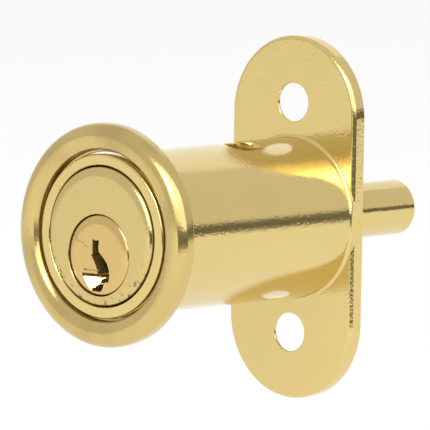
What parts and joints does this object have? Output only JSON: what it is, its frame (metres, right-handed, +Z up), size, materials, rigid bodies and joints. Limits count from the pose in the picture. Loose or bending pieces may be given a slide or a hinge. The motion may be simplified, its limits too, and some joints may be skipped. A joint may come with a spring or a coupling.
{
  "type": "push cylinder lock",
  "caption": "Push-in key cylinder lock: a tube with an oblong fixing plate, a loose domed trim ring and a straight round bolt behind.",
  "frame": {"origin": "on the housing tube's axis, in the plane of the fixing plate's front face, which rests on the back of the panel", "axes": "+Y along the tube from the key side to the bolt side, +Z up along the plate, +X to the right seen from the key side"},
  "size_m": [0.03, 0.061, 0.05],
  "materials": {
    "polished_brass": "polished, brass plated",
    "satin_brass": "satin, brass plated",
    "turned_brass": "turned",
    "nickel_silver": "turned",
    "spring_steel": "drawn wire",
    "pin_steel": "ground"
  },
  "bodies": {
    "housing": {"housing": "polished_brass", "guide_pin": "pin_steel", "return_spring": "spring_steel"},
    "trim_ring": {"trim_ring": "polished_brass"},
    "barrel": {"barrel": "satin_brass", "chamber_cover": "satin_brass", "plug_retaining_pin": "pin_steel", "bolt": "polished_brass", "bolt_screw_1": "pin_steel", "bolt_screw_2": "pin_steel", "latch_spring": "spring_steel", "pin_spring_1": "spring_steel", "pin_spring_2": "spring_steel", "pin_spring_3": "spring_steel", "pin_spring_4": "spring_steel", "pin_spring_5": "spring_steel"},
    "plug": {"plug": "polished_brass", "drive_pin": "pin_steel"},
    "latch": {"latch": "nickel_silver"},
    "key_pin_1": {"key_pin_1": "turned_brass"},
    "key_pin_2": {"key_pin_2": "turned_brass"},
    "key_pin_3": {"key_pin_3": "turned_brass"},
    "key_pin_4": {"key_pin_4": "turned_brass"},
    "key_pin_5": {"key_pin_5": "turned_brass"},
    "driver_pin_1": {"driver_pin_1": "nickel_silver"},
    "driver_pin_2": {"driver_pin_2": "nickel_silver"},
    "driver_pin_3": {"driver_pin_3": "nickel_silver"},
    "driver_pin_4": {"driver_pin_4": "nickel_silver"},
    "driver_pin_5": {"driver_pin_5": "nickel_silver"}
  },
  "joints": [
    {"name": "barrel_slide", "type": "slide", "parent": "housing", "child": "barrel", "axis": [0, -1, 0], "range_m": [0, 0.01], "deforming": ["return_spring"]},
    {"name": "trim_ring_slide", "type": "slide", "parent": "housing", "child": "trim_ring", "axis": [0, 1, 0], "range_m": [0, 0.027]},
    {"name": "key_turn", "type": "hinge", "parent": "barrel", "child": "plug", "pos_m": [0, -0.0383, -0.0025], "axis": [0, 1, 0], "range_deg": [0, 75]},
    {"name": "latch_slide", "type": "slide", "parent": "barrel", "child": "latch", "axis": [-0.1908, 0, -0.9816], "range_m": [-0.00135, 0], "deforming": ["latch_spring"]},
    {"name": "key_pin_drop_1", "type": "slide", "parent": "plug", "child": "key_pin_1", "axis": [0, 0, 1], "range_m": [-0.00203, 0]},
    {"name": "key_pin_drop_2", "type": "slide", "parent": "plug", "child": "key_pin_2", "axis": [0, 0, 1], "range_m": [-0.00123, 0]},
    {"name": "key_pin_drop_3", "type": "slide", "parent": "plug", "child": "key_pin_3", "axis": [0, 0, 1], "range_m": [-0.00163, 0]},
    {"name": "key_pin_drop_4", "type": "slide", "parent": "plug", "child": "key_pin_4", "axis": [0, 0, 1], "range_m": [-0.00083, 0]},
    {"name": "key_pin_drop_5", "type": "slide", "parent": "plug", "child": "key_pin_5", "axis": [0, 0, 1], "range_m": [-0.00223, 0]},
    {"name": "driver_pin_drop_1", "type": "slide", "parent": "barrel", "child": "driver_pin_1", "axis": [0, 0, 1], "range_m": [-0.00203, 0], "deforming": ["pin_spring_1"]},
    {"name": "driver_pin_drop_2", "type": "slide", "parent": "barrel", "child": "driver_pin_2", "axis": [0, 0, 1], "range_m": [-0.00123, 0], "deforming": ["pin_spring_2"]},
    {"name": "driver_pin_drop_3", "type": "slide", "parent": "barrel", "child": "driver_pin_3", "axis": [0, 0, 1], "range_m": [-0.00163, 0], "deforming": ["pin_spring_3"]},
    {"name": "driver_pin_drop_4", "type": "slide", "parent": "barrel", "child": "driver_pin_4", "axis": [0, 0, 1], "range_m": [-0.00083, 0], "deforming": ["pin_spring_4"]},
    {"name": "driver_pin_drop_5", "type": "slide", "parent": "barrel", "child": "driver_pin_5", "axis": [0, 0, 1], "range_m": [-0.00223, 0], "deforming": ["pin_spring_5"]}
  ],
  "couplings": [
    {"joint": "driver_pin_drop_1", "follows": "key_pin_drop_1", "ratio": 1},
    {"joint": "driver_pin_drop_2", "follows": "key_pin_drop_2", "ratio": 1},
    {"joint": "driver_pin_drop_3", "follows": "key_pin_drop_3", "ratio": 1},
    {"joint": "driver_pin_drop_4", "follows": "key_pin_drop_4", "ratio": 1},
    {"joint": "driver_pin_drop_5", "follows": "key_pin_drop_5", "ratio": 1}
  ]
}
